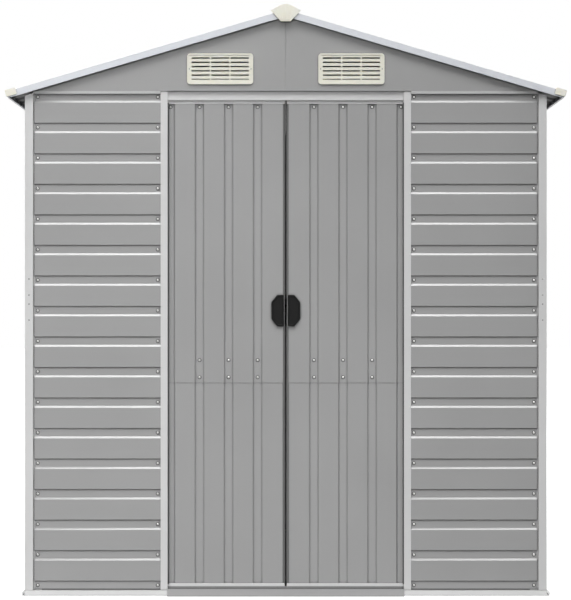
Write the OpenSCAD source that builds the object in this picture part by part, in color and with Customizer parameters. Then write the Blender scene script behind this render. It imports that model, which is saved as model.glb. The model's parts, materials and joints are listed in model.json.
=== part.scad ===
// Garden shed of folded and ribbed steel sheet, with a gable roof and two sliding doors.
// The front faces -Y, +X is to the right of someone facing the doors, and Z = 0 is the ground.

/* [Overall] */
// Width across the eave end caps
roof_w = 1922; // [1880:2:1960]
// Depth across the verge end caps
roof_d = 1666; // [1660:2:1700]
// Height of the ridge flashing's crown
ridge_h = 2024; // [2015:1:2040]
// Rise of the roof for each unit of run
roof_slope = 0.294; // [0.28:0.002:0.31]
// Width over the corner posts
wall_w = 1790; // [1780:2:1800]
// Depth over the corner posts
wall_d = 1624; // [1610:2:1630]
// Thickness of the sheet steel
sheet_t = 1; // [0.8:0.1:1.2]

/* [Walls] */
// Height of the base rails
rail_h = 16; // [15:1:18]
// Height of the walls' bottom edge
wall_bottom = 20; // [20:1:24]
// Height of the gables' bottom edge
gable_bottom = 1729; // [1725:1:1735]
// Spacing of the wall ribs
rib_pitch = 104.8; // [104:0.1:105]
// Width of the flat face of a wall rib
rib_flat = 69; // [60:0.5:70]
// Width of the sloped upper side of a wall rib
rib_upper = 7; // [5:0.5:9]
// Width of the sloped lower side of a wall rib
rib_lower = 3.5; // [3:0.5:6]
// Depth of the valleys between the wall ribs
rib_depth = 4.5; // [4:0.5:6.5]
// Distance of the ribs behind the faces of the corner posts
wall_inset = 4; // [3:0.5:4.5]
// Width of a corner post's flange
post_w = 28; // [25:1:32]
// Distance of the jambs' inner edge from the centre
jamb_in = 405; // [400:1:408]
// Width of a door jamb
jamb_w = 25; // [20:1:30]
// Height of the wall braces' centre
brace_z = 1010; // [900:10:1100]

/* [Roof] */
// Height of the crown over the ridge line of the roof sheets
crown_rise = 19.5; // [18:0.5:21]
// Height of the roof trims' web
trim_h = 22.5; // [21:0.5:26]
// Width of the roof trims' upper flange
trim_w = 28; // [24:1:32]
// Spacing of the roof sheets' valleys
roof_pitch = 100; // [98:1:101]
// Depth of the roof sheets' valleys
roof_rib = 6.5; // [5:0.5:7]
// Half width of the ridge end caps
ridge_half = 52; // [48:1:56]

/* [Doors] */
// Gap between a leaf's meeting edge and the centre
leaf_gap = 3.5; // [3:0.5:5]
// Width of a leaf
leaf_w = 427; // [425:1:430]
// Height of the leaves' bottom edge
leaf_bottom = 23.5; // [23:0.5:25]
// Height of the leaves' top edge
leaf_top = 1701.5; // [1698:0.5:1702]
// Height of the upper sheet's bottom edge
leaf_lap = 727; // [700:1:760]
// Spacing of the leaves' valleys
leaf_pitch = 100; // [98:1:101]
// Depth of the leaves' valleys
leaf_rib = 6.5; // [5:0.5:7]
// Height of a pull
pull_h = 107; // [100:1:115]
// Width of a pull
pull_w = 43; // [40:1:46]
// Height of the pulls' centre
pull_z = 976; // [900:1:1050]

/* [Vents] */
// Width of a vent
vent_w = 227; // [220:1:235]
// Height of a vent
vent_h = 106; // [104:1:112]
// Distance of a vent's centre from the middle of the gable
vent_x = 225; // [215:1:235]
// Height of a vent's centre
vent_z = 1804.5; // [1800:0.5:1810]

/* [Hidden] */
$fn = 48;

painted_grey = "#A0A0A0";
light_grey = "#CECECE";
trim_white = "#DEDFE4";
cream = "#E6E5DA";
black = "#222222";
zinc = "#B4B8BA";
nylon = "#EDEBE2";

// Gap that keeps two neighbouring solids apart
seam = 0.4;
// Far more than the shed measures, for cutting away one side
beyond = 3000;

face_x = wall_w / 2;
face_y = wall_d / 2;
valley_back = wall_inset + rib_depth + sheet_t;
jamb_out = jamb_in + jamb_w;
panel_in = jamb_in + 10;
panel_top = gable_bottom - sheet_t;

roof_angle = atan(roof_slope);
roof_z = ridge_h - crown_rise;
roof_valley = roof_rib + sheet_t;
cap_up = 6;
cap_end = 3.5;
cap_r = 4;
ridge_cap_t = 4;
verge_y = roof_d / 2 - ridge_cap_t;
eave_s = cap_r - cap_end
    + (roof_w / 2 - cap_r - (sheet_t + cap_up - cap_r) * sin(roof_angle)) / cos(roof_angle);

// Depths of the door pieces, as distances in front of the shed's centre plane
track_face = face_y - valley_back;
leaf_face = face_y - 15.5;
leaf_depth = 27;
leaf_back = leaf_face - leaf_depth;
lip_y = leaf_face - 16;
guide_y = leaf_face - 14.5;

// Height of the underside of the roof sheets' valleys
function roof_under(x) = roof_z - roof_valley / cos(roof_angle) - roof_slope * abs(x);
// Height of the top of the roof trims
function trim_top(x) = roof_z + sheet_t / cos(roof_angle) - roof_slope * abs(x);

function unit(v) = v / norm(v);
function left_of(v) = [-v[1], v[0]];
function mitre(a, b) = (a + b) / (1 + a * b);
function reversed(p) = [for (i = [len(p) - 1 : -1 : 0]) p[i]];
function swapped(p) = [for (v = p) [v[1], v[0]]];

// A path moved sideways by d, to the left of its direction, with mitred corners
function moved(p, d) =
    let (last = len(p) - 1, side = [for (i = [0 : last - 1]) left_of(unit(p[i + 1] - p[i]))])
    [for (i = [0 : last])
        p[i] + d * (i == 0 ? side[0] : i == last ? side[last - 1] : mitre(side[i - 1], side[i]))];

// Outline of a sheet folded along a path: t thick, starting skip away from the path
module folded(path, t, skip = 0)
    polygon(concat(moved(path, skip), reversed(moved(path, skip + t))));

// Path of a ribbed sheet at one level, with flats at another level round each centre
function ribbed(from, to, centres, flat, rise, fall, level, flat_level) = concat(
    [[from, level]],
    [for (c = centres) each [
        [c - flat / 2 - rise, level], [c - flat / 2, flat_level],
        [c + flat / 2, flat_level], [c + flat / 2 + fall, level]]],
    [[to, level]]);

module along_y(from, to) translate([0, to, 0]) rotate([90, 0, 0]) linear_extrude(to - from) children();
module along_x(from, to) translate([from, 0, 0]) rotate([90, 0, 90]) linear_extrude(to - from) children();
module along_z(from, to) translate([0, 0, from]) linear_extrude(to - from) children();
module block(low, high) translate(low) cube(high - low);

module on_left() mirror([1, 0, 0]) children();
module at_rear() mirror([0, 1, 0]) children();
module both_sides() {
    children();
    on_left() children();
}

// Pieces are drawn facing +X and turned to the side that they stand on
module at_front() rotate([0, 0, -90]) children();
module at_back() rotate([0, 0, 90]) children();

// Coordinates on the right slope: X down the slope, Z square to the sheet
module on_slope() translate([0, 0, roof_z]) rotate([0, roof_angle, 0]) children();

module rounded_rect(w, h, r) {
    square([w - 2 * r, h], center = true);
    square([w, h - 2 * r], center = true);
    for (x = [-1, 1], y = [-1, 1])
        translate([x * (w / 2 - r), y * (h / 2 - r)]) circle(r);
}

// Base rail: sloped skirt, shelf for the wall, and a flange on the ground
skirt_out = 16;
shelf_w = 16;
flange_w = 35;
shelf_z = rail_h - sheet_t;
guide_top = 18;
anchor_y = 600;
anchor_r = 4.5;
function base_path(face, flange) = [
    [face + skirt_out, 0], [face + 1, shelf_z], [face + 1 - shelf_w, shelf_z],
    [face + 1 - shelf_w, 0], [face + 1 - shelf_w - flange, 0]];

module end_rail(face, path) difference() {
    along_y(-face_x, face_x) folded(path, -sheet_t);
    for (end = [-1, 1])
        translate([0, end * (face_x + 10), 0])
            block([face - 60, -60, -1], [face + 1 - shelf_w, 60, wall_bottom + 1]);
}

module base_rail_front() color(light_grey) at_front()
    end_rail(face_y, concat(base_path(face_y, face_y - guide_y - shelf_w + 1), [[guide_y, guide_top]]));

module base_rail_rear() color(light_grey) at_back() end_rail(face_y, base_path(face_y, flange_w));

// Side rail, with two anchor holes through its ground flange
module side_rail() color(light_grey) difference() {
    along_y(-face_y + shelf_w, face_y - shelf_w) folded(base_path(face_x, flange_w), -sheet_t);
    for (y = [-anchor_y, anchor_y])
        translate([face_x + 1 - shelf_w - flange_w / 2, y, -1]) cylinder(r = anchor_r, h = sheet_t + 2);
}

// Ramp over the front base rail, with a fold that rests on the rail and a lip behind it
lip_h = 9;
module door_ramp() color(painted_grey) at_front()
    along_y(-jamb_in, jamb_in)
        folded([[face_y + 34, 0], [face_y + 2, wall_bottom], [track_face, rail_h],
            [track_face, wall_bottom + lip_h]], -sheet_t);

// Corner post: an angle whose edges turn back and run behind the wall panels, cut to the roof's slope
post_lap = 28;
post_drop = 20.5;
module corner_post() color(light_grey) difference() {
    edge_x = face_x - post_w;
    edge_y = post_w - face_y;
    lap_x = face_x - valley_back;
    along_z(rail_h, gable_bottom)
        folded([[edge_x - post_lap, -track_face], [edge_x, -track_face], [edge_x, -face_y],
            [face_x, -face_y], [face_x, edge_y], [lap_x, edge_y], [lap_x, edge_y + post_lap]], sheet_t);
    along_y(-beyond, beyond)
        polygon([[0, roof_under(0) - post_drop], [beyond, roof_under(beyond) - post_drop],
            [beyond, beyond], [0, beyond]]);
}

// Door jamb: an angle round the edge of the front wall panel
module door_jamb() color(light_grey) along_z(rail_h, gable_bottom) {
    jamb_y = wall_inset - sheet_t - face_y;
    folded([[jamb_in, -track_face - 0.5], [jamb_in, jamb_y], [jamb_out, jamb_y]], sheet_t);
}

// Wall panel facing +X, with its ribs standing out from the valleys
rib_count = 16;
first_rib = 83.2;
module wall_panel(face, from, to, top) color(painted_grey) along_y(from, to)
    folded(swapped(ribbed(wall_bottom, top,
        [for (i = [0 : rib_count - 1]) first_rib + rib_pitch * i],
        rib_flat, rib_lower, rib_upper, face - wall_inset - rib_depth, face - wall_inset)), sheet_t);

// A narrow groove stays open between a panel and a post
panel_gap = 5;
front_end = face_x - post_w - panel_gap;
side_end = face_y - post_w - panel_gap;
module front_wall() at_front() wall_panel(face_y, panel_in, front_end, panel_top);
module rear_wall() at_back() wall_panel(face_y, -front_end, front_end, panel_top);
module side_wall() wall_panel(face_x, -side_end, side_end, panel_top);

// Strip that closes the top of a wall panel, under the gable
module wall_cap(from, to) color(light_grey) along_y(from, to)
    folded([[face_y, gable_bottom - 10], [face_y, gable_bottom], [track_face, gable_bottom]], sheet_t);
module front_wall_caps() both_sides() at_front() wall_cap(jamb_out, face_x - post_w);
module rear_wall_cap() at_back() wall_cap(post_w - face_x, face_x - post_w);

// Rail on the inside of a side wall's top, with a flange under the roof sheets
module wall_plate() color(zinc) along_y(75 - face_y, face_y - 75) {
    plate_x = face_x - valley_back;
    folded([[plate_x, gable_bottom - 50], [plate_x, roof_under(plate_x) - seam],
        [plate_x - 32, roof_under(plate_x - 32) - seam]], sheet_t);
}

// Channel along the middle of a wall, inside
module wall_brace(face, from, to) color(zinc) along_y(from, to)
    folded([[face - valley_back - 20, brace_z - 20], [face - valley_back, brace_z - 20],
        [face - valley_back, brace_z + 20], [face - valley_back - 20, brace_z + 20]], sheet_t);
module wall_braces() {
    both_sides() wall_brace(face_x, 60 - face_y, face_y - 60);
    at_back() wall_brace(face_y, 60 - face_x, face_x - 60);
}

// Gable in two halves that meet in the middle, each with a flange at its foot and under the roof
gable_tip = (roof_under(0) - gable_bottom) / roof_slope;
flange_tip = gable_tip - sheet_t / roof_slope;
foot_flange = 32;
roof_flange = 22;
module gable_half() {
    inner = seam / 2;
    difference() {
        along_y(-face_y, sheet_t - face_y)
            polygon([[inner, gable_bottom], [gable_tip, gable_bottom], [inner, roof_under(inner)]]);
        translate([vent_x, 0, vent_z]) along_y(-face_y - 1, 2 - face_y)
            square([louvre_w + 4, louvre_h + 4], center = true);
    }
    along_y(-face_y, roof_flange - face_y)
        polygon([[inner, roof_under(inner)], [flange_tip, roof_under(flange_tip)],
            [flange_tip, roof_under(flange_tip) - sheet_t], [inner, roof_under(inner) - sheet_t]]);
    block([inner, -face_y, gable_bottom],
        [flange_tip, foot_flange - face_y, gable_bottom + sheet_t]);
}
module gable() color(painted_grey) both_sides() gable_half();

// Vent: a moulded frame with a raised rim, two mullions and sloped louvre blades
louvre_columns = 3;
louvre_rows = 6;
column_w = 62;
mullion_w = 5;
slot_h = 5.7;
louvre_pitch = 14.7;
blade_h = louvre_pitch - slot_h;
louvre_w = louvre_columns * (column_w + mullion_w) - mullion_w;
louvre_h = louvre_rows * louvre_pitch - blade_h;
vent_t = 4;
vent_rim = 6.5;
rim_t = 1.5;
corner_r = 11;
blade_rise = 2.5;
sill_h = 2.5;
module vent() color(cream) translate([vent_x, -face_y, vent_z]) {
    along_y(-vent_t, 0) difference() {
        rounded_rect(vent_w, vent_h, corner_r);
        for (i = [0 : louvre_columns - 1])
            translate([(column_w + mullion_w) * (i - (louvre_columns - 1) / 2), sill_h / 2])
                square([column_w, louvre_h - sill_h], center = true);
    }
    along_y(-vent_t - rim_t, -vent_t) difference() {
        rounded_rect(vent_w, vent_h, corner_r);
        rounded_rect(vent_w - 2 * vent_rim, vent_h - 2 * vent_rim, corner_r - vent_rim);
    }
    for (j = [1 : louvre_rows - 1])
        translate([0, 0, louvre_pitch * j - louvre_h / 2 - blade_h])
            along_x(-louvre_w / 2 - 1, louvre_w / 2 + 1)
                polygon([[1 - vent_t, 0], [vent_t + 1, blade_rise], [vent_t + 1, blade_rise + blade_h],
                    [1 - vent_t, blade_h]]);
}
module vents() both_sides() vent();

// Roof sheet of one slope, with its ribs running down to the eave
roof_start = 5;
roof_flat = 23;
roof_side = 7;
module roof_sheet() color(painted_grey) on_slope() along_x(roof_start, eave_s - sheet_t)
    folded(ribbed(sheet_t - verge_y, verge_y - sheet_t,
        [for (i = [-8 : 8]) roof_pitch * i], roof_flat, roof_side, roof_side, 0, -roof_rib), -sheet_t);

// Ridge flashing: two slopes with a rounded crown, and turned-down edges on the verge trims
crown_half = 28;
crown_r = 44;
flashing_half = 42;
function crown_z(x) =
    ridge_h - crown_r * (1 - cos(crown_half)) - (x - crown_r * sin(crown_half)) * tan(crown_half);
function crown_path(half) = concat(
    [[-half, crown_z(half)]],
    [for (a = [-crown_half : crown_half / 4 : crown_half])
        [crown_r * sin(a), ridge_h - crown_r * (1 - cos(a))]],
    [[half, crown_z(half)]]);
module ridge_flashing() color(trim_white) along_y(-verge_y, verge_y) {
    edge = [flashing_half, trim_top(flashing_half - sheet_t)];
    folded(concat([[-edge[0], edge[1]]], crown_path(flashing_half), [edge]), -sheet_t);
}

// End cap of the ridge: a thick plate, narrow at its foot, with flutes that fan out from there
cap_foot = 16.5;
cap_drop = 37;
flute_r = 1.2;
module ridge_end_cap() color(cream) difference() {
    foot_z = crown_z(ridge_half) - cap_drop;
    along_y(-roof_d / 2, -verge_y)
        polygon(concat(crown_path(ridge_half), [[cap_foot, foot_z], [-cap_foot, foot_z]]));
    for (a = [-36 : 9 : 36])
        translate([0, -roof_d / 2 - flute_r / 2, foot_z - cap_drop]) rotate([0, a, 0])
            cylinder(r = flute_r, h = 4 * cap_drop);
}

// Roof trims: a flange over the edge of the roof sheets, a web and a small lip
trim_lip = 6;
function trim_path(edge) = [[edge - trim_w, sheet_t], [edge, sheet_t],
    [edge, sheet_t - trim_h], [edge - trim_lip, sheet_t - trim_h]];

// At the corner only the verge trim's web runs on, and the eave trim starts behind it
module verge_half() difference() {
    on_slope() along_x(-trim_h, eave_s)
        mirror([1, 0]) folded(trim_path(verge_y), -sheet_t);
    on_slope() block([eave_s - trim_w - seam, sheet_t - verge_y, -beyond], [beyond, beyond, beyond]);
    block([-beyond, -beyond, 0], [seam / 2, beyond, beyond]);
}
module verge_trim() color(trim_white) both_sides() verge_half();
module eave_trim() color(trim_white) on_slope() along_y(sheet_t + seam - verge_y, verge_y - sheet_t - seam)
    folded(trim_path(eave_s), -sheet_t);

// Moulded cap with round corners, over the corner where a verge trim meets an eave trim
cap_l = 34;
cap_h = 17;
cap_front = 3;
module eave_end_cap() color(cream) on_slope() difference() {
    union()
        translate([eave_s + (cap_end - cap_l) / 2, 0, sheet_t + (cap_up - cap_h) / 2])
            along_y(-verge_y - cap_front, cap_l - verge_y)
                rounded_rect(cap_l + cap_end, cap_h + cap_up, cap_r);
    block([eave_s - cap_l - 1, -verge_y, -beyond], [eave_s, beyond, sheet_t]);
}
module eave_end_caps() both_sides() {
    eave_end_cap();
    at_rear() eave_end_cap();
}

// Beam under each roof slope, from gable to gable
beam_s = 480;
module roof_beams() color(zinc) both_sides() on_slope() along_y(sheet_t - face_y, face_y - sheet_t)
    translate([beam_s, -roof_valley - sheet_t])
        folded([[20, -40], [0, -40], [0, 0], [20, 0]], -sheet_t);

// Door track: a channel over the doorway with a lip that the sliders hook over
track_z = leaf_top - 3.5;
shelf_rise = 12;
lip_rise = 8;
module door_track() color(light_grey) at_front() along_y(60 - face_x, face_x - 60)
    folded([[track_face, track_z], [track_face, gable_bottom], [track_face - 47, gable_bottom],
        [track_face - 47, track_z + shelf_rise], [lip_y, track_z + shelf_rise],
        [lip_y, track_z + shelf_rise + lip_rise]], sheet_t);

// Door leaf, drawn on the right and facing -Y, with its meeting edge bent back
leaf_out = leaf_gap + leaf_w;
leaf_valleys = [for (i = [0 : 3]) 97 + leaf_pitch * i];
leaf_valley = 22.5;
leaf_side = 5;
edge_bend = 6.5;
sheet_y = sheet_t - leaf_face;
leaf_path = concat([[leaf_gap, sheet_y + leaf_rib]],
    ribbed(leaf_gap + edge_bend, leaf_out, leaf_valleys, leaf_valley, leaf_side, leaf_side,
        sheet_y, sheet_y + leaf_rib));
lap_h = 93;
module leaf_sheets() color(painted_grey) {
    along_z(leaf_lap, leaf_top - sheet_t) folded(leaf_path, sheet_t);
    along_z(leaf_bottom + sheet_t, leaf_lap + lap_h) folded(leaf_path, sheet_t, sheet_t + seam);
}

channel_h = 15;
stile_w = 20;
module leaf_frame() color(light_grey) {
    back_y = -leaf_back;
    along_x(leaf_gap, leaf_out) {
        folded([[-leaf_face, leaf_top - channel_h], [-leaf_face, leaf_top], [back_y, leaf_top],
            [back_y, leaf_top - channel_h]], -sheet_t);
        folded([[-leaf_face, leaf_bottom + channel_h], [-leaf_face, leaf_bottom], [back_y, leaf_bottom],
            [back_y, leaf_bottom + channel_h]], sheet_t);
    }
    stile_y = sheet_y + leaf_rib + 3 * sheet_t;
    along_z(leaf_bottom, leaf_top) {
        folded([[leaf_gap + stile_w, back_y - 8], [leaf_gap + stile_w, back_y],
            [leaf_gap, back_y], [leaf_gap, stile_y]], sheet_t);
        folded([[leaf_out - stile_w, back_y - 8], [leaf_out - stile_w, back_y],
            [leaf_out, back_y], [leaf_out, stile_y]], -sheet_t);
    }
}

// Pull: half an octagon beside the meeting edge, with a dished face
pull_in = 6.5;
pull_t = 9;
pull_dish = 2;
chamfer_x = 20;
chamfer_z = 25;
function pull_outline(inset) = [
    [inset, pull_h / 2 - inset], [pull_w - chamfer_x - inset / 2, pull_h / 2 - inset],
    [pull_w - inset, pull_h / 2 - chamfer_z - inset / 2],
    [pull_w - inset, chamfer_z - pull_h / 2 + inset / 2],
    [pull_w - chamfer_x - inset / 2, inset - pull_h / 2], [inset, inset - pull_h / 2]];
module leaf_pull() color(black) translate([pull_in, sheet_y, pull_z]) difference() {
    along_y(-pull_t, 0) polygon(pull_outline(0));
    along_y(-pull_t - 1, pull_dish - pull_t) polygon(pull_outline(6));
}

// Sliders: two hooks on the track's lip and two guides astride the base rail's lip
slider_l = 50;
slider_xs = [leaf_gap + 35, leaf_out - 35 - slider_l];
module leaf_sliders() color(nylon) for (x = slider_xs) {
    along_x(x, x + slider_l) polygon([
        [-lip_y - 14, leaf_top], [-lip_y - 14, track_z + 26], [-lip_y + 11, track_z + 26],
        [-lip_y + 11, track_z + 15], [-lip_y + 3, track_z + 15], [-lip_y + 3, track_z + 21],
        [-lip_y - 2, track_z + 21], [-lip_y - 2, leaf_top]]);
    along_x(x, x + slider_l) difference() {
        translate([-guide_y - 8, 12]) square([15, leaf_bottom - 12]);
        translate([-guide_y - 3, 11]) square([5, 8.5]);
    }
}

base_rail_front();
base_rail_rear();
on_left() side_rail();  // base_rail_left
side_rail();  // base_rail_right
door_ramp();
on_left() corner_post();  // corner_post_front_left
corner_post();  // corner_post_front_right
on_left() at_rear() corner_post();  // corner_post_rear_left
at_rear() corner_post();  // corner_post_rear_right
on_left() door_jamb();  // door_jamb_left
door_jamb();  // door_jamb_right
door_track();
on_left() front_wall();  // front_wall_left
front_wall();  // front_wall_right
on_left() side_wall();  // left_wall
side_wall();  // right_wall
rear_wall();
front_wall_caps();
rear_wall_cap();
on_left() wall_plate();  // wall_plate_left
wall_plate();  // wall_plate_right
wall_braces();
gable();  // front_gable
at_rear() gable();  // rear_gable
vents();  // vents_front
at_rear() vents();  // vents_rear
on_left() roof_sheet();  // roof_left
roof_sheet();  // roof_right
ridge_flashing();
roof_beams();
verge_trim();  // verge_trim_front
at_rear() verge_trim();  // verge_trim_rear
on_left() eave_trim();  // eave_trim_left
eave_trim();  // eave_trim_right
ridge_end_cap();  // ridge_end_cap_front
at_rear() ridge_end_cap();  // ridge_end_cap_rear
eave_end_caps();
on_left() leaf_sheets();  // door_left_sheets
on_left() leaf_frame();  // door_left_frame
on_left() leaf_pull();  // door_left_pull
on_left() leaf_sliders();  // door_left_sliders
leaf_sheets();  // door_right_sheets
leaf_frame();  // door_right_frame
leaf_pull();  // door_right_pull
leaf_sliders();  // door_right_sliders
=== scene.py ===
# %% [markdown]
# # A flat-pack garden shed of ribbed steel
#
# The shed is a kit of thin steel sheets, folded and roll-formed, that someone screws together in an
# afternoon. The solid model already has every sheet at its real size, so this lesson is about what
# the eye still misses: the finish of each surface, the soft edge that a folded sheet has, the small
# screws along every lap, and the light that makes the ribs read as white and dark lines.
#
# We start by loading the solid model as a fixed frame. Nothing that we add may make the shed
# larger.

# %% Load the frame
import json
import math

import bmesh
import bpy
from mathutils import Matrix, Vector

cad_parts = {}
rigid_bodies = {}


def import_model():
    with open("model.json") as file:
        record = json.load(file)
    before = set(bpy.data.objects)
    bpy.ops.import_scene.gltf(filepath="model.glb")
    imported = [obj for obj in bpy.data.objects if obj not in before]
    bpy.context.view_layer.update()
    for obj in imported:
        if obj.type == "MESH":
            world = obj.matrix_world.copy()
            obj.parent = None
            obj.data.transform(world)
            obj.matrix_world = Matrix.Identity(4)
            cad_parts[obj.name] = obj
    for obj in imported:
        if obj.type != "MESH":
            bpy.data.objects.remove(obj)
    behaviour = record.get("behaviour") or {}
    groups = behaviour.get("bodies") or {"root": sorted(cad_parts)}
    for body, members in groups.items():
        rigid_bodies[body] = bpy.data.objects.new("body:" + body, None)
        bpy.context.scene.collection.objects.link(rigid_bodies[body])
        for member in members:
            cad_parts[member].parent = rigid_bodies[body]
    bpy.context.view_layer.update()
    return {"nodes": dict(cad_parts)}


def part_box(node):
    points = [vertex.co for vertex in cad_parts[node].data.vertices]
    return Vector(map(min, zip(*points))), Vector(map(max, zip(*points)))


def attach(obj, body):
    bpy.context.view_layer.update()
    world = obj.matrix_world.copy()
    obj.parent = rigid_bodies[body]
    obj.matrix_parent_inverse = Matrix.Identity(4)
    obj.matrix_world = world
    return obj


for start_object in list(bpy.data.objects):
    bpy.data.objects.remove(start_object)
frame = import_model()
nodes = frame["nodes"]
MM = 0.001

# %% [markdown]
# ## The camera
#
# The picture looks straight at the doors with hardly any perspective, so the camera stands well back
# and uses a long lens. Its height is found from the eaves: the ridge, the eave caps and the ground
# all keep their distances from the middle of the picture when the camera is half as high as the shed.

# %% Camera
CAMERA_PLACE = (-0.001, -6.855, 1.012)
LENS_MM, SENSOR_MM = 105.7, 36
camera_data = bpy.data.cameras.new("front_camera")
camera_data.sensor_width = SENSOR_MM
camera_data.lens = LENS_MM
camera = bpy.data.objects.new("front_camera", camera_data)
camera.location = CAMERA_PLACE
camera.rotation_euler = (math.radians(90), 0, 0)
bpy.context.collection.objects.link(camera)
bpy.context.scene.camera = camera
bpy.context.scene.view_settings.view_transform = "Standard"
print("camera", tuple(camera.location), "lens", camera_data.lens)

# %% [markdown]
# ## Two small tools for materials
#
# Colours are chosen as sRGB hex values, the way a paint chart gives them, while shaders work with
# linear light. One function converts. Another adds a node to a tree, sets its properties and fills
# its sockets, either with a value or with a link from another node. That keeps each material short.

# %% Colour and node helpers
# A Mix node that mixes colours takes them at two of its inputs, and gives the mixture at one output
COLOUR_A, COLOUR_B, MIXED = 6, 7, 2


def linear(hex_colour):
    """An sRGB hex colour as linear red, green, blue and alpha."""
    parts = [int(hex_colour[i : i + 2], 16) / 255 for i in (1, 3, 5)]
    return [c / 12.92 if c <= 0.04045 else ((c + 0.055) / 1.055) ** 2.4 for c in parts] + [1.0]


def add(tree, kind, sockets=None, **settings):
    """Add a node of one kind, set its properties, and fill or link its input sockets."""
    node = tree.nodes.new("ShaderNode" + kind)
    for name, value in settings.items():
        setattr(node, name, value)
    for socket, value in (sockets or {}).items():
        if isinstance(value, bpy.types.NodeSocket):
            tree.links.new(value, node.inputs[socket])
        else:
            node.inputs[socket].default_value = value
    return node


def new_material(name):
    """An empty material and its node tree."""
    material = bpy.data.materials.new(name)
    material.use_nodes = True
    material.node_tree.nodes.clear()
    return material, material.node_tree


print("grey in linear light", [round(v, 3) for v in linear("#A0A0A0")])

# %% [markdown]
# ## Floor and background
#
# The shed stands on a plain white floor in a white room. A floor that is lit to pure white would
# throw a lot of light back up and wash out the dark lower sides of the ribs. So the floor and the
# world look white only to rays that come from the camera or from a shiny or clear surface. To the light
# that bounces between surfaces the floor is dark grey and the world is dim. Close to the shed the white
# is held back a little, so the lamps' shadow still shows there. A second, plain grey plane lies under
# the shed, where little light falls, so that nothing glows through the gap between the doors.

# %% World and floor
AMBIENT = 0.10
WHITE = (1.0, 1.0, 1.0, 1.0)
FLOOR_SIZE = 60.0
FLOOR_DROP, INSIDE_DROP = 0.8 * MM, 0.4 * MM
FOOTPRINT = (1.81, 1.645)
GLOW_NEAR, GLOW_FAR = 0.8, 1.0
GLOW_START, GLOW_END = 1.2, 3.0


def seen_directly(tree):
    """1 for rays from the camera, a glossy surface or a clear one, and 0 for diffuse light."""
    path = add(tree, "LightPath").outputs
    both = add(tree, "Math", {0: path["Is Camera Ray"], 1: path["Is Glossy Ray"]}, operation="MAXIMUM")
    every = add(tree, "Math", {0: both.outputs[0], 1: path["Is Transmission Ray"]}, operation="MAXIMUM")
    return every.outputs[0]


def floor_plane(name, width, depth, height, material):
    """A flat rectangle at one height that belongs to the stage and not to the shed."""
    mesh = bpy.data.meshes.new(name)
    x, y = width / 2, depth / 2
    mesh.from_pydata([(-x, -y, 0), (x, -y, 0), (x, y, 0), (-x, y, 0)], [], [(0, 1, 2, 3)])
    mesh.materials.append(material)
    plane = bpy.data.objects.new(name, mesh)
    plane.location.z = height
    bpy.context.collection.objects.link(plane)


world = bpy.data.worlds.new("white_room")
world.use_nodes = True
tree = world.node_tree
tree.nodes.clear()
strength = add(tree, "MapRange", {"Value": seen_directly(tree), "To Min": AMBIENT})
room = add(tree, "Background", {"Color": WHITE, "Strength": strength.outputs[0]})
add(tree, "OutputWorld", {"Surface": room.outputs[0]})
bpy.context.scene.world = world

floor_paint, tree = new_material("painted_studio_floor")
place = add(tree, "TexCoord").outputs["Object"]
distance = add(tree, "VectorMath", {0: place}, operation="LENGTH").outputs["Value"]
glow = add(tree, "MapRange", {
    "Value": distance, "From Min": GLOW_START, "From Max": GLOW_END,
    "To Min": GLOW_NEAR, "To Max": GLOW_FAR})
shown_floor = add(tree, "AddShader", {
    0: add(tree, "Emission", {"Color": WHITE, "Strength": glow.outputs[0]}).outputs[0],
    1: add(tree, "BsdfDiffuse", {"Color": linear("#B0B0B0")}).outputs[0]})
plain_floor = add(tree, "BsdfDiffuse", {"Color": linear("#202020")})
either_floor = add(tree, "MixShader", {
    0: seen_directly(tree), 1: plain_floor.outputs[0], 2: shown_floor.outputs[0]})
add(tree, "OutputMaterial", {"Surface": either_floor.outputs[0]})

bare_ground, tree = new_material("painted_studio_floor_unlit")
matt = add(tree, "BsdfDiffuse", {"Color": linear("#A8A8A8")})
add(tree, "OutputMaterial", {"Surface": matt.outputs[0]})

floor_plane("floor", FLOOR_SIZE, FLOOR_SIZE, -FLOOR_DROP, floor_paint)
floor_plane("floor_inside", *FOOTPRINT, -INSIDE_DROP, bare_ground)
print("floor", FLOOR_SIZE, "m wide, ambient light", AMBIENT)

# %% [markdown]
# ## Studio lamps
#
# Three lamps make the picture. A very large panel hangs far off, high above the front, like a bright
# sky. It lights the flat faces evenly from top to bottom, while the lower sides of the ribs turn away
# from it and stay dark. The upper sides lean back and mirror what is above the camera, so a second
# panel hangs there that shows in reflections only: those are the white lines. A small soft box beside
# the camera, a little to the left, fills the shadows from the front with a narrow beam.
#
# The lamps behind the front plane light the sides and the back for the other views. The rear panel is
# kept out of reflections, because the flat roof would mirror it and turn white.
#
# An area lamp's energy is spread over its surface and over a half sphere of directions, so a lamp of a
# chosen brightness needs more watts when it is larger.

# %% Lamps
SHED_FRONT = (0.0, -0.8, 1.0)


def softbox(name, place, aim, width, height, radiance, mirrored=True, lights=True, spread=180):
    """A rectangular lamp of a given brightness, that can be kept out of mirrors or from lighting."""
    lamp = bpy.data.lights.new(name, "AREA")
    lamp.shape = "RECTANGLE"
    lamp.size = width
    lamp.size_y = height
    lamp.energy = math.pi * width * height * radiance
    lamp.spread = math.radians(spread)
    holder = bpy.data.objects.new(name, lamp)
    holder.location = place
    holder.rotation_euler = (Vector(aim) - Vector(place)).to_track_quat("-Z", "Y").to_euler()
    holder.visible_camera = False
    holder.visible_glossy = mirrored
    holder.visible_diffuse = lights
    bpy.context.collection.objects.link(holder)
    print(name, round(lamp.energy), "W")


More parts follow.
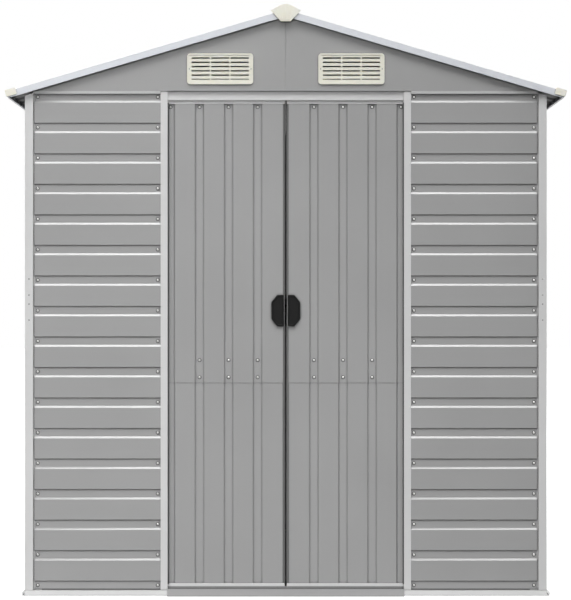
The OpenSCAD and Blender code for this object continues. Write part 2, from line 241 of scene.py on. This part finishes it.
softbox("sky_panel", (-1.0, -12.9, 21.0), SHED_FRONT, 24.0, 11.0, 6.8)
softbox("rib_gleam", (-0.3, -4.4, 9.6), SHED_FRONT, 5.0, 3.6, 8.0, lights=False)
softbox("front_fill", (-0.7, -6.2, 2.8), (-0.8, -0.8, -0.1), 1.6, 1.2, 3.6, mirrored=False, spread=66)
softbox("left_fill", (-6.5, 1.4, 5.6), (-0.9, 0.0, 1.0), 5.0, 4.0, 2.6)
softbox("right_fill", (6.5, 1.4, 5.6), (0.9, 0.0, 1.0), 5.0, 4.0, 2.6)
softbox("rear_sky", (0.0, 12.0, 15.0), (0.0, 0.8, 1.0), 14.0, 8.0, 2.4, mirrored=False)
softbox("back_fill", (0.0, 8.0, 4.4), (0.0, 0.8, 1.0), 5.0, 3.0, 3.8)

# %% [markdown]
# ## Painted steel
#
# The grey walls, doors, gables and roof are coil-coated steel: the strip is galvanised, painted flat
# in the mill and only then roll-formed. That gives an even, half-glossy film with a fine orange peel,
# and faint waves where the thin sheet doesn't lie quite flat. The posts, rails and trims are folded
# from the same strip in lighter colours, so one function makes every paint with its own settings.

# %% Coil-coated steel
PAINT_IOR = 1.5
# Real orange peel is under a millimetre wide: it is drawn coarser, so that it shows in a close view
PEEL_SIZE, PEEL_STRENGTH, PEEL_HEIGHT = 1.6 * MM, 0.03, 0.2 * MM
WAVE_SIZE, WAVE_STRENGTH, WAVE_HEIGHT = 160 * MM, 0.015, 2 * MM
PATCH_SIZE = 320 * MM
PATCH_LOW, PATCH_HIGH = 0.25, 0.75
GLOSS_RANGE = 0.03
SEAM_REACH, SEAM_SAMPLES = 12 * MM, 8
SEAM_SHUT, SEAM_OPEN = 0.3, 0.9
TILT_START, TILT_FULL = 0.6, 0.95


def coil_coated_steel(name, light, dark, roughness, seam_shade=0.25, top=1.0):
    """Mill-painted steel strip; the last two are shares of its colour kept as painted shade in seams and on
    top.
    """
    material, tree = new_material(name)
    place = add(tree, "TexCoord").outputs["Object"]
    patches = add(tree, "TexNoise", {"Vector": place, "Scale": 1 / PATCH_SIZE, "Detail": 1.0})
    shade = add(tree, "MapRange", {
        "Value": patches.outputs["Fac"], "From Min": PATCH_LOW, "From Max": PATCH_HIGH})
    colour = add(tree, "Mix", {
        0: shade.outputs[0], COLOUR_A: linear(dark), COLOUR_B: linear(light)}, data_type="RGBA")
    # Painted shade: an occlusion node finds seams and corners, and the colour gets darker there
    seams = add(tree, "AmbientOcclusion", {"Distance": SEAM_REACH}, samples=SEAM_SAMPLES)
    seam_shade_amount = add(tree, "MapRange", {
        "Value": seams.outputs["AO"], "From Min": SEAM_SHUT, "From Max": SEAM_OPEN, "To Min": seam_shade})
    seam_shaded = add(tree, "Mix", {
        0: 1.0, COLOUR_A: colour.outputs[MIXED], COLOUR_B: seam_shade_amount.outputs[0]},
        data_type="RGBA", blend_type="MULTIPLY")
    # Painted shade: the colour gets darker on faces that look up, down to the share top
    facing = add(tree, "SeparateXYZ", {0: add(tree, "NewGeometry").outputs["Normal"]})
    top_shade = add(tree, "MapRange", {
        "Value": facing.outputs["Z"], "From Min": TILT_START, "From Max": TILT_FULL,
        "To Min": 1.0, "To Max": top})
    top_shaded = add(tree, "Mix", {
        0: 1.0, COLOUR_A: seam_shaded.outputs[MIXED], COLOUR_B: top_shade.outputs[0]},
        data_type="RGBA", blend_type="MULTIPLY")
    # Gloss varies a little where hands and rain have been
    gloss = add(tree, "MapRange", {
        "Value": patches.outputs["Fac"],
        "To Min": roughness + GLOSS_RANGE, "To Max": roughness - GLOSS_RANGE})
    slow = add(tree, "TexNoise", {"Vector": place, "Scale": 1 / WAVE_SIZE, "Detail": 1.0})
    wavy = add(tree, "Bump", {
        "Height": slow.outputs["Fac"], "Strength": WAVE_STRENGTH, "Distance": WAVE_HEIGHT})
    grain = add(tree, "TexNoise", {"Vector": place, "Scale": 1 / PEEL_SIZE, "Detail": 1.0})
    peeled = add(tree, "Bump", {
        "Height": grain.outputs["Fac"], "Strength": PEEL_STRENGTH, "Distance": PEEL_HEIGHT,
        "Normal": wavy.outputs[0]})
    paint = add(tree, "BsdfPrincipled", {
        "Base Color": top_shaded.outputs[MIXED], "Roughness": gloss.outputs[0], "IOR": PAINT_IOR,
        "Normal": peeled.outputs[0]})
    add(tree, "OutputMaterial", {"Surface": paint.outputs[0]})
    return material


print("orange peel", PEEL_SIZE / MM, "mm, waves", WAVE_SIZE / MM, "mm")

# %% [markdown]
# Each paint is named for its colour and for the painted light or shade that it carries. The roof and
# the ridge are rough and dull, and like the white trims their faces that look up get painted shade.
# The doors' channels and their track get painted light against the track's shadow, and little shade
# in their corners. The rails, the ramp and the cap strips get painted shade, which makes them darker.

# %% Paints
sheet_paint = coil_coated_steel("coil_coated_steel_grey", "#A2A2A2", "#9D9D9D", 0.30)
frame_paint = coil_coated_steel("coil_coated_steel_light_grey", "#D8D8D8", "#D3D3D3", 0.34)
# Painted shade: the white trims, the roof and the ridge are darker on faces that look up, by their top
# share
trim_paint = coil_coated_steel("coil_coated_steel_white", "#E6E9EE", "#E1E4EA", 0.34, top=0.42)
roof_paint = coil_coated_steel("coil_coated_steel_rained_grey_top_shade", "#A2A2A2", "#9D9D9D", 0.55, top=0.5)
ridge_paint = coil_coated_steel("coil_coated_steel_rained_white_top_shade", "#D2D5D9", "#CDD0D4", 0.60, top=0.36)
# Painted light: a lighter grey with little painted shade in its corners, against the track's shadow on the
# doors' channels
lightened_leaf_paint = coil_coated_steel("coil_coated_steel_light_grey_painted_light", "#DADADA", "#D6D6D6", 0.34, seam_shade=0.9)
# Painted shade: the rails are darker than the posts, to hold back the light that their sloping skirts catch
shaded_rail_paint = coil_coated_steel("coil_coated_steel_rail_grey_painted_shade", "#ACACAC", "#A6A6A6", 0.45)
# Painted shade: the ramp is darker still, to hold back the light on its sloping face
shaded_ramp_paint = coil_coated_steel("coil_coated_steel_ramp_grey_painted_shade", "#8A8A8A", "#858585", 0.45)
# Painted shade: the wall's cap strips are darker, for the shade under the gable's foot
shaded_cap_paint = coil_coated_steel("coil_coated_steel_cap_grey_painted_shade", "#C0C0C0", "#BCBCBC", 0.40)
paints = (sheet_paint, frame_paint, trim_paint, roof_paint, ridge_paint, lightened_leaf_paint, shaded_rail_paint,
    shaded_ramp_paint, shaded_cap_paint)
print("painted steel:", [paint.name for paint in paints])

# %% [markdown]
# ## Galvanised steel
#
# The beams, braces and wall plates inside are left bare. Zinc that cools on steel grows into crystals,
# and each crystal mirrors light a little differently. A Voronoi texture has just that pattern of
# straight-edged cells, so its cell colour drives both the shade and the gloss.

# %% Galvanised steel
SPANGLE_SIZE = 14 * MM
SPANGLE_ROUGH, SPANGLE_SMOOTH = 0.48, 0.30


def galvanised_steel(name, light, dark):
    """Hot-dip galvanised strip with spangle."""
    material, tree = new_material(name)
    place = add(tree, "TexCoord").outputs["Object"]
    crystals = add(tree, "TexVoronoi", {"Vector": place, "Scale": 1 / SPANGLE_SIZE})
    cell = add(tree, "SeparateColor", {0: crystals.outputs["Color"]}).outputs[0]
    colour = add(tree, "Mix", {0: cell, COLOUR_A: linear(dark), COLOUR_B: linear(light)}, data_type="RGBA")
    gloss = add(tree, "MapRange", {"Value": cell, "To Min": SPANGLE_ROUGH, "To Max": SPANGLE_SMOOTH})
    zinc = add(tree, "BsdfPrincipled", {
        "Base Color": colour.outputs[MIXED], "Metallic": 1.0, "Roughness": gloss.outputs[0]})
    add(tree, "OutputMaterial", {"Surface": zinc.outputs[0]})
    return material


zinc_steel = galvanised_steel("hot_dip_galvanised_steel", "#C4C8CA", "#A2A7AA")
print("bare steel:", zinc_steel.name)

# %% [markdown]
# ## Moulded plastics
#
# Vents, end caps, pulls and sliders are injection mouldings. Their moulds are spark-eroded, which
# leaves a fine pebble texture and a soft sheen. Cream polypropylene and nylon let a little light into
# their surface, so they get some subsurface scattering, and the black pulls have none. The washers
# are rubber, which looks much the same close up: dull, with a fine grain. The dark lips and grey
# strips are rubber too, and they stand in for painted shade by the jambs and where the leaves meet.

# %% Moulded plastics
# Spark-eroded pebbles are a few tenths of a millimetre wide: drawn coarser, to show in a close view
PEBBLE_SIZE, PEBBLE_STRENGTH, PEBBLE_HEIGHT = 0.9 * MM, 0.12, 0.15 * MM
FLOW_SIZE = 30 * MM
SINK_WEIGHT, SINK_COLOURS, SINK_DEPTH = 0.15, (1.0, 0.8, 0.5), 1.0 * MM


def moulded_plastic(name, light, dark, roughness, ior, depth=0.0, sheen=0.5):
    """Injection-moulded plastic with a spark-eroded texture, and light that sinks in by a depth."""
    material, tree = new_material(name)
    place = add(tree, "TexCoord").outputs["Object"]
    flow = add(tree, "TexNoise", {"Vector": place, "Scale": 1 / FLOW_SIZE, "Detail": 2.0})
    colour = add(tree, "Mix", {
        0: flow.outputs["Fac"], COLOUR_A: linear(dark), COLOUR_B: linear(light)}, data_type="RGBA")
    pebbles = add(tree, "TexNoise", {"Vector": place, "Scale": 1 / PEBBLE_SIZE, "Detail": 2.0})
    eroded = add(tree, "Bump", {
        "Height": pebbles.outputs["Fac"], "Strength": PEBBLE_STRENGTH, "Distance": PEBBLE_HEIGHT})
    plastic = add(tree, "BsdfPrincipled", {
        "Base Color": colour.outputs[MIXED], "Roughness": roughness, "IOR": ior,
        "Subsurface Weight": SINK_WEIGHT if depth else 0.0, "Subsurface Radius": SINK_COLOURS,
        "Subsurface Scale": depth, "Specular IOR Level": sheen, "Normal": eroded.outputs[0]})
    add(tree, "OutputMaterial", {"Surface": plastic.outputs[0]})
    return material


cream_plastic = moulded_plastic("moulded_polypropylene_cream", "#EFEEE2", "#E8E7DA", 0.42, 1.49, SINK_DEPTH)
cap_plastic = moulded_plastic("moulded_polypropylene_ivory", "#FAF9EC", "#F6F4E6", 0.42, 1.49, SINK_DEPTH)
black_plastic = moulded_plastic("moulded_polypropylene_black", "#141414", "#101010", 0.55, 1.49, sheen=0.15)
nylon = moulded_plastic("moulded_nylon_natural", "#F0EEE6", "#E6E4DA", 0.36, 1.53, SINK_DEPTH)
rubber = moulded_plastic("moulded_rubber_dark_grey", "#3A3A3A", "#303030", 0.60, 1.52)
# Painted shade: this grey rubber only makes the strips that darken the leaves' meeting edges
shade_grey_rubber = moulded_plastic("extruded_rubber_grey_painted_shade", "#7A7A7A", "#747474", 0.60, 1.52)
mouldings = (cream_plastic, cap_plastic, black_plastic, nylon, rubber, shade_grey_rubber)
print("mouldings:", [moulding.name for moulding in mouldings])

# %% [markdown]
# ## Zinc-plated screws
#
# The screws are electroplated with zinc and passivated: a bright metal, smooth apart from the fine
# scratches that handling leaves.

# %% Zinc-plated steel
# Real scratches are far finer than a screw: they are drawn coarser, to show in a close view
SCRATCH_SIZE = 0.6 * MM
SCRATCH_RANGE = 0.08


def plated_steel(name, colour, roughness):
    """Electroplated steel, with the fine scratches that handling leaves."""
    material, tree = new_material(name)
    place = add(tree, "TexCoord").outputs["Object"]
    scratches = add(tree, "TexNoise", {"Vector": place, "Scale": 1 / SCRATCH_SIZE, "Detail": 2.0})
    gloss = add(tree, "MapRange", {
        "Value": scratches.outputs["Fac"],
        "To Min": roughness - SCRATCH_RANGE, "To Max": roughness + SCRATCH_RANGE})
    metal = add(tree, "BsdfPrincipled", {
        "Base Color": linear(colour), "Metallic": 1.0, "Roughness": gloss.outputs[0]})
    add(tree, "OutputMaterial", {"Surface": metal.outputs[0]})
    return material


screw_zinc = plated_steel("zinc_plated_steel", "#B8B8B6", 0.32)
print("screws:", screw_zinc.name)

# %% [markdown]
# ## Finishes and folded edges
#
# Each sheet of the solid model has sharp corners, but a folded sheet has a small radius that catches a
# line of light. A Bevel modifier gives that without touching the mesh. The loaded faces don't share
# their corners, so a Weld modifier joins them first, and hardened normals keep the flats flat. Most
# nodes take the finish of their slot in the record, and some have one of their own.

# %% Finish every sheet and moulding
FINISHES = {
    "sheet_paint": (sheet_paint, 0.6 * MM),
    "frame_paint": (frame_paint, 0.5 * MM),
    "trim_paint": (trim_paint, 0.5 * MM),
    "zinc_steel": (zinc_steel, 0.5 * MM),
    "cream_plastic": (cream_plastic, 0.7 * MM),
    "black_plastic": (black_plastic, 2.0 * MM),
    "nylon": (nylon, 1.0 * MM),
}
OTHER_FINISHES = {
    "base_rail": (shaded_rail_paint, 0.5 * MM),
    "door_ramp": (shaded_ramp_paint, 0.5 * MM),
    "wall_cap": (shaded_cap_paint, 0.5 * MM),
    "door_left_frame": (lightened_leaf_paint, 0.5 * MM),
    "door_right_frame": (lightened_leaf_paint, 0.5 * MM),
    "door_track": (lightened_leaf_paint, 0.5 * MM),
    "ridge_flashing": (ridge_paint, 0.5 * MM),
    "roof_left": (roof_paint, 0.6 * MM),
    "roof_right": (roof_paint, 0.6 * MM),
    "ridge_end_cap": (cap_plastic, 0.7 * MM),
    "eave_end_cap": (cap_plastic, 1.3 * MM),
}
FOLD_ANGLE = math.radians(20)
FOLD_STEPS = 2
WELD_REACH = 0.01 * MM


def soften(piece, width):
    """Round the edges of a piece by a small radius."""
    weld = piece.modifiers.new("join_faces", "WELD")
    weld.merge_threshold = WELD_REACH
    bevel = piece.modifiers.new("fold_radius", "BEVEL")
    bevel.width = width
    bevel.segments = FOLD_STEPS
    bevel.limit_method = "ANGLE"
    bevel.angle_limit = FOLD_ANGLE
    bevel.harden_normals = True


for name, piece in nodes.items():
    slot_name = piece.material_slots[0].material.name.split(".")[0]
    own = [given for part, given in OTHER_FINISHES.items() if part in name]
    finish, radius = own[0] if own else FINISHES[slot_name]
    piece.material_slots[0].material = finish
    soften(piece, radius)
print("finished", len(nodes), "nodes")

# %% [markdown]
# ## One screw
#
# There are hundreds, so we shape a single one and copy it. It is turned, like a pot on a wheel: each
# pair of a radius and a height makes a ring of vertices, and faces bridge one ring to the next.

# %% Tools for turned shapes
RING_STEPS = 20


def outline(bm, points, height):
    """A closed loop of vertices at one height, from points in millimetres."""
    return [bm.verts.new((x * MM, y * MM, height * MM)) for x, y in points]


def bridge(bm, low, high, slot_index):
    """Faces between two loops that have as many vertices."""
    for i in range(len(low)):
        j = (i + 1) % len(low)
        bm.faces.new((low[i], low[j], high[j], high[i])).material_index = slot_index


def turned(bm, profile, slot_index):
    """Rings round the Z axis for each radius and height, bridged and closed below; the top ring."""
    turns = [2 * math.pi * i / RING_STEPS for i in range(RING_STEPS)]
    rings = [outline(bm, [(r * math.cos(a), r * math.sin(a)) for a in turns], h) for r, h in profile]
    for low, high in zip(rings, rings[1:]):
        bridge(bm, low, high, slot_index)
    bm.faces.new(rings[0]).material_index = slot_index
    return rings[-1]


print("a ring has", RING_STEPS, "steps")

# %% [markdown]
# The driver's cross is a second outline inside the head's top ring. `triangle_fill` closes the space
# between the two, and the cross is bridged down to its own floor.

# %% Screw template
# Radius and height of each ring, in millimetres
WASHER = [(5.8, -0.3), (6.3, 0.2), (6.1, 0.7), (5.0, 1.0)]
HEAD = [(4.4, 0.8), (4.3, 1.4), (3.8, 2.2), (3.0, 2.8), (2.1, 3.1), (1.7, 3.15)]
CROSS_ARM, CROSS_HALF, CROSS_DEPTH = 1.4, 0.35, 0.9
ZINC_SLOT, RUBBER_SLOT = 0, 1

bm = bmesh.new()
bm.faces.new(turned(bm, WASHER, RUBBER_SLOT)).material_index = RUBBER_SLOT
head_top = turned(bm, HEAD, ZINC_SLOT)
quarter = [(CROSS_ARM, -CROSS_HALF), (CROSS_ARM, CROSS_HALF), (CROSS_HALF, CROSS_HALF)]
cross = [tuple(Matrix.Rotation(i * math.pi / 2, 2) @ Vector(p)) for i in range(4) for p in quarter]
cross_top = outline(bm, cross, HEAD[-1][1])
cross_floor = outline(bm, cross, HEAD[-1][1] - CROSS_DEPTH)
bridge(bm, cross_floor, cross_top, ZINC_SLOT)
bm.faces.new(cross_floor).material_index = ZINC_SLOT
loops = [bm.edges.get((loop[i - 1], loop[i])) for loop in (head_top, cross_top) for i in range(len(loop))]
bmesh.ops.triangle_fill(bm, edges=loops, use_beauty=True)
bmesh.ops.recalc_face_normals(bm, faces=bm.faces)
screw_mesh = bpy.data.meshes.new("screw")
bm.to_mesh(screw_mesh)
bm.free()
print("one screw has", len(screw_mesh.polygons), "faces")

# %% [markdown]
# ## Where the screws go
#
# A place is a point on a sheet and the direction that the sheet faces there. The valleys between the
# ribs repeat at a fixed pitch, so most places come from two short lists. Each list becomes one mesh
# that rides on the body that it is screwed to, so the doors' screws slide along with the doors.

# %% Fastening
# Each screw stops at another angle, as when it is driven by hand
TURN_STEP = 0.7
SCREW_CREASE = math.radians(35)
SIDES = ((-1, "left"), (1, "right"))
FRONT, REAR = (0, -1, 0), (0, 1, 0)


def fasten(name, body, places, scale=1.0):
    """One mesh with a screw at every (point, direction), riding on a body."""
    bm = bmesh.new()
    for count, (point, facing) in enumerate(places):
        bm.from_mesh(screw_mesh)
        turn = Matrix.Rotation(TURN_STEP * count, 4, "Z") @ Matrix.Scale(scale, 4)
        aim = Vector(facing).to_track_quat("Z", "Y").to_matrix().to_4x4()
        bm.verts.ensure_lookup_table()
        added = bm.verts[-len(screw_mesh.vertices):]
        bmesh.ops.transform(bm, matrix=Matrix.Translation(point) @ aim @ turn, verts=added)
    mesh = bpy.data.meshes.new(name)
    bm.to_mesh(mesh)
    bm.free()
    mesh.materials.append(screw_zinc)
    mesh.materials.append(rubber)
    mesh.polygons.foreach_set("use_smooth", [True] * len(mesh.polygons))
    mesh.set_sharp_from_angle(angle=SCREW_CREASE)
    screws = bpy.data.objects.new(name, mesh)
    bpy.context.collection.objects.link(screws)
    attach(screws, body)
    print(name, len(places), "screws")


print("each screw is turned by", TURN_STEP, "more than the one before")

# %% [markdown]
# The walls' screws sit in the valleys, in a column at each end of a sheet. The solid model is symmetric,
# so the places on the right are worked out from the nodes' boxes and mirrored to the left.

# %% Wall screws
RIB_PITCH = 104.8 * MM
FIRST_VALLEY = 12.5 * MM
VALLEY_COUNT = 17
RIB_DEPTH = 4.5 * MM
EDGE_IN = 10 * MM

wall_low, wall_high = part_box("front_wall_right")
valley_rows = [wall_low.z + FIRST_VALLEY + RIB_PITCH * i for i in range(VALLEY_COUNT)]
jamb_low, jamb_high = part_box("door_jamb_right")
front_valley = wall_low.y + RIB_DEPTH
front_columns = (wall_high.x - EDGE_IN, jamb_high.x + EDGE_IN)
for side, word in SIDES:
    fasten("screws_front_" + word, "shed",
        [((side * x, front_valley, z), FRONT) for x in front_columns for z in valley_rows])

side_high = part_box("right_wall")[1]
side_valley = side_high.x - RIB_DEPTH
for side, word in SIDES:
    fasten("screws_side_" + word, "shed",
        [((side * side_valley, end * (side_high.y - EDGE_IN), z), (side, 0, 0))
            for end in (-1, 1) for z in valley_rows])

rear_low, rear_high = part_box("rear_wall")
fasten("screws_rear", "shed",
    [((x, rear_high.y - RIB_DEPTH, z), REAR)
        for x in (rear_low.x + EDGE_IN, rear_high.x - EDGE_IN) for z in valley_rows])

# %% [markdown]
# ## Screws on the doors, the roof and the small pieces
#
# The doors' screws hold the upper sheet to the top channel and to the lower sheet.

# %% Door screws
FIRST_LEAF_VALLEY = 97 * MM
LEAF_PITCH = 100 * MM
LEAF_VALLEY_COUNT = 4
LEAF_RIB = 6.5 * MM
TOP_ROW = 1676 * MM
LAP_ROWS = (805 * MM, 746 * MM)

sheets_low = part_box("door_right_sheets")[0]
leaf_valley = sheets_low.y + LEAF_RIB
leaf_columns = [FIRST_LEAF_VALLEY + LEAF_PITCH * i for i in range(LEAF_VALLEY_COUNT)]
door_places = [(x, TOP_ROW) for x in leaf_columns]
# The lap has no screw in the outermost valley
door_places += [(x, z) for x in leaf_columns[:-1] for z in LAP_ROWS]
for side, word in SIDES:
    fasten("screws_door_" + word, "door_" + word,
        [((side * x, leaf_valley, z), FRONT) for x, z in door_places])

# %% [markdown]
# The roof's rows lie at the ridge, over the beam and at the eave. Their points are worked out along the
# slope, and then set back to the bottom of the valleys.

# %% Roof screws
ROOF_SLOPE = 0.294
ROOF_START = 5 * MM
ROOF_RIB = 6.5 * MM
ROOF_PITCH = 100 * MM
ROOF_ROWS = (75 * MM, 490 * MM, 945 * MM)
# Valleys to each side of the middle one
ROOF_REACH = 7

roof_valleys = [ROOF_PITCH * i for i in range(-ROOF_REACH, ROOF_REACH + 1)]
angle = math.atan(ROOF_SLOPE)
ridge_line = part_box("roof_right")[1].z + ROOF_START * math.sin(angle)
roof_points = [
    (s * math.cos(angle) - ROOF_RIB * math.sin(angle), y,
        ridge_line - s * math.sin(angle) - ROOF_RIB * math.cos(angle))
    for s in ROOF_ROWS for y in roof_valleys]
for side, word in SIDES:
    slope_out = (side * math.sin(angle), 0, math.cos(angle))
    fasten("screws_roof_" + word, "shed", [((side * x, y, z), slope_out) for x, y, z in roof_points])

# %% [markdown]
# The smallest screws, in the vents, posts and jambs, are the same shape at less than half its size.

# %% Small screws
SMALL = 0.4
POST_IN = 14 * MM
SPLICE_ROWS = (1084 * MM, 1029 * MM, 998 * MM, 943 * MM)
JAMB_ROWS = (1033 * MM, 1002 * MM, 947 * MM)
VENT_WIDTH = 227 * MM
VENT_RIM = 1.5 * MM
VENT_IN = 7 * MM

post_low, post_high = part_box("corner_post_front_right")
jamb_middle = (jamb_low.y + jamb_high.y) / 2
for side, word in SIDES:
    fasten("screws_post_" + word, "shed",
        [((side * (post_high.x - POST_IN), post_low.y, z), FRONT) for z in SPLICE_ROWS], SMALL)
    fasten("screws_jamb_" + word, "shed",
        [((side * jamb_low.x, jamb_middle, z), (-side, 0, 0)) for z in JAMB_ROWS], SMALL)

vent_low, vent_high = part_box("vents_front")
vent_edges = (vent_high.x - VENT_IN, vent_high.x - VENT_WIDTH + VENT_IN)
vent_middle = (vent_low.z + vent_high.z) / 2
vent_face = vent_low.y + VENT_RIM
fasten("screws_vents", "shed",
    [((side * x, end * -vent_face, vent_middle), (0, end, 0))
        for end in (-1, 1) for side in (-1, 1) for x in vent_edges], SMALL)

# %% [markdown]
# ## Dark lips on the jambs, for painted shade
#
# A dark line of shade runs down each jamb, where the leaf passes behind it. It is painted in as a dark
# rubber lip pushed over the jamb's edge: a soft tongue that stops short of the sliding leaf. Its
# outline is drawn once, seen from above, and stretched from the ramp up to the track.

# %% Jamb lips
# Outline in mm from the jamb's inner edge and from the middle of its depth, positive towards the front
LIP_OUTLINE = [(0.0, 4.6), (-1.6, 4.2), (-2.9, 2.6), (-3.4, 0.0), (-2.8, -2.0), (-1.2, -2.8), (0.0, -2.6)]
LIP_END_GAP = 8 * MM
BAR_RADIUS = 0.3 * MM
BAR_CREASE = math.radians(50)


def stretched(name, body, points, bottom, top, material):
    """An upright bar with the same outline all the way up, riding on a body."""
    bm = bmesh.new()
    low = [bm.verts.new((x, y, bottom)) for x, y in points]
    high = [bm.verts.new((x, y, top)) for x, y in points]
    bridge(bm, low, high, 0)
    bm.faces.new(low)
    bm.faces.new(high)
    bmesh.ops.recalc_face_normals(bm, faces=bm.faces)
    mesh = bpy.data.meshes.new(name)
    bm.to_mesh(mesh)
    bm.free()
    mesh.materials.append(material)
    mesh.polygons.foreach_set("use_smooth", [True] * len(mesh.polygons))
    mesh.set_sharp_from_angle(angle=BAR_CREASE)
    bar = bpy.data.objects.new(name, mesh)
    bpy.context.collection.objects.link(bar)
    soften(bar, BAR_RADIUS)
    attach(bar, body)
    print(name, round(top - bottom, 4), "m high")


lip_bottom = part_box("door_ramp")[1].z + LIP_END_GAP
lip_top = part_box("door_track")[0].z - LIP_END_GAP
for side, word in SIDES:
    points = [(side * (jamb_low.x + x * MM), jamb_middle - y * MM) for x, y in LIP_OUTLINE]
    # Painted shade: the lip's dark rubber stands for the shade where the leaf passes behind the jamb
    stretched("jamb_lip_" + word, "shed", points, lip_bottom, lip_top, rubber)

# %% [markdown]
# ## Strips where the leaves meet
#
# The leaves meet along sheet edges that are bent back. Each bent edge carries a grey rubber strip: it
# is painted shade, a darker band beside the gap, and it stops at the pull.

# %% Meeting strips
# Outline in mm from the line where the leaves meet and from the leaf's face, positive to the front
STRIP_OUTLINE = [(10.0, 0.1), (9.3, 0.6), (2.6, -5.9), (2.0, -6.9), (2.0, -14.0), (3.4, -14.0), (3.4, -6.6)]
STRIP_END_GAP = 2 * MM
CHANNEL_HEIGHT = 16 * MM

frame_low, frame_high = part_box("door_right_frame")
pull_low, pull_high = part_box("door_right_pull")
# Painted shade: grey strips darken the bent edges where the leaves meet
for side, word in SIDES:
    points = [(side * x * MM, sheets_low.y - y * MM) for x, y in STRIP_OUTLINE]
    stretched("meeting_shade_strip_low_" + word, "door_" + word, points,
        frame_low.z + CHANNEL_HEIGHT, pull_low.z - STRIP_END_GAP, shade_grey_rubber)
    stretched("meeting_shade_strip_high_" + word, "door_" + word, points,
        pull_high.z + STRIP_END_GAP, frame_high.z - CHANNEL_HEIGHT, shade_grey_rubber)

# %% [markdown]
# ## Upstands of the base rails
#
# A folded base rail ends in an upright flange behind the wall, and the sheet is screwed to it. Seen from
# outside it only closes the slit under the sheet, and from inside it is a low edge along the wall. The
# same function makes it, with a thin rectangle for an outline, and it stops where the posts begin.

# %% Rail upstands
UPSTAND_HEIGHT = 24 * MM
UPSTAND_THICK = 1 * MM
UPSTAND_GAP = 0.3 * MM
SEATED = 0.5 * MM

rail_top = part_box("base_rail_rear")[1].z
post_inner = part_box("corner_post_rear_right")[0]
reach_x = post_inner.x - UPSTAND_THICK
reach_y = post_inner.y - UPSTAND_THICK


def rail_upstand(wall, across):
    """The rail's upright flange behind a wall; across is the axis of the wall's thickness."""
    low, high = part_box(wall)
    inner = min(low[across], high[across], key=abs)
    inward = -math.copysign(1.0, inner)
    edges = [inner + inward * UPSTAND_GAP, inner + inward * (UPSTAND_GAP + UPSTAND_THICK)]
    xs = edges if across == 0 else [max(low.x, -reach_x), min(high.x, reach_x)]
    ys = edges if across == 1 else [max(low.y, -reach_y), min(high.y, reach_y)]
    points = [(xs[0], ys[0]), (xs[1], ys[0]), (xs[1], ys[1]), (xs[0], ys[1])]
    # Painted shade: the upstand takes the dark ramp paint, so the slit under the sheet reads as a dark line
    stretched("rail_upstand_" + wall, "shed", points, rail_top - SEATED, rail_top + UPSTAND_HEIGHT,
        shaded_ramp_paint)


rail_upstand("front_wall_left", 1)
rail_upstand("front_wall_right", 1)
rail_upstand("rear_wall", 1)
rail_upstand("left_wall", 0)
rail_upstand("right_wall", 0)
